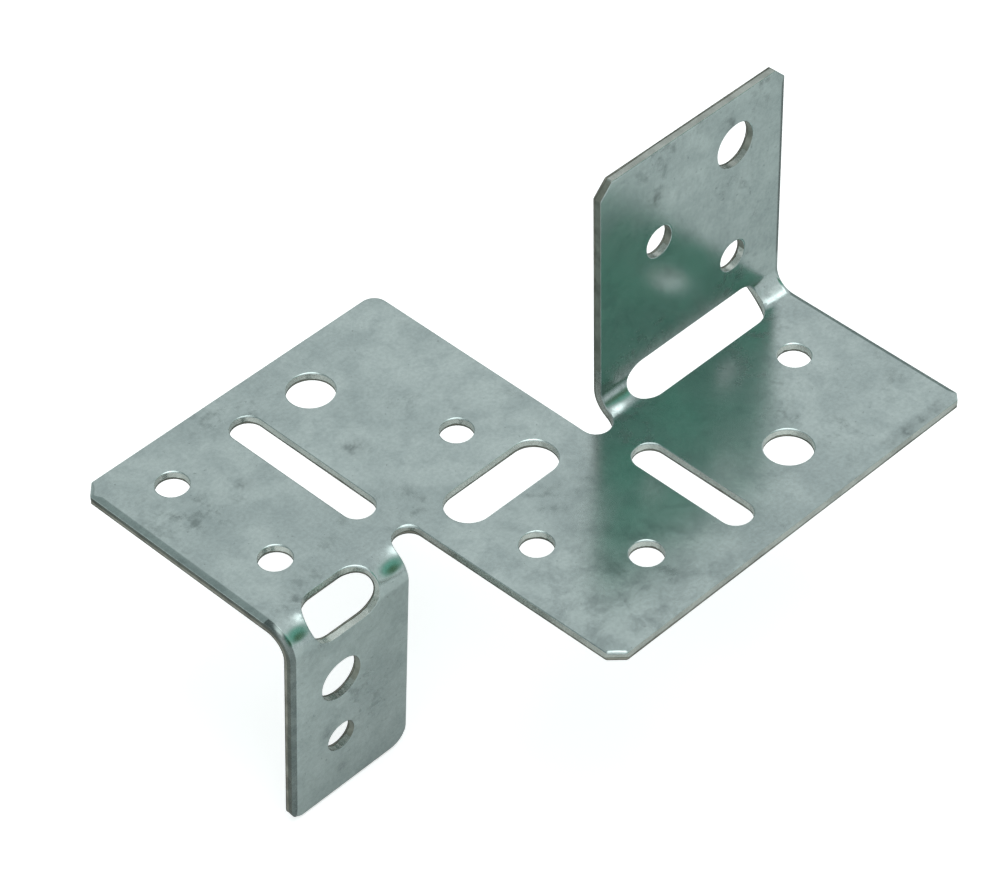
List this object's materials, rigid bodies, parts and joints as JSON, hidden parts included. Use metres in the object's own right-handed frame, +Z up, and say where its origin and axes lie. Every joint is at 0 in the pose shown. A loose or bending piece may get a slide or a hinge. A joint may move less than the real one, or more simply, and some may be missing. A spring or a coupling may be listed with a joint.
{
  "type": "corner brace bracket",
  "caption": "Corner brace bracket folded from one galvanised sheet: a slotted plate with one leg folded up and one folded down.",
  "frame": {"origin": "centre of the middle slot, on the plate's top face", "axes": "+X along the fold line towards the up leg's outer edge, +Y to the plate's back edge, +Z up out of the plate's top face, the way the up leg points"},
  "size_m": [0.1087, 0.0835, 0.0857],
  "materials": {
    "galvanised_steel": "dull zinc with cloudy mottling"
  },
  "bodies": {
    "root": {"bracket": "galvanised_steel"}
  },
  "joints": []
}
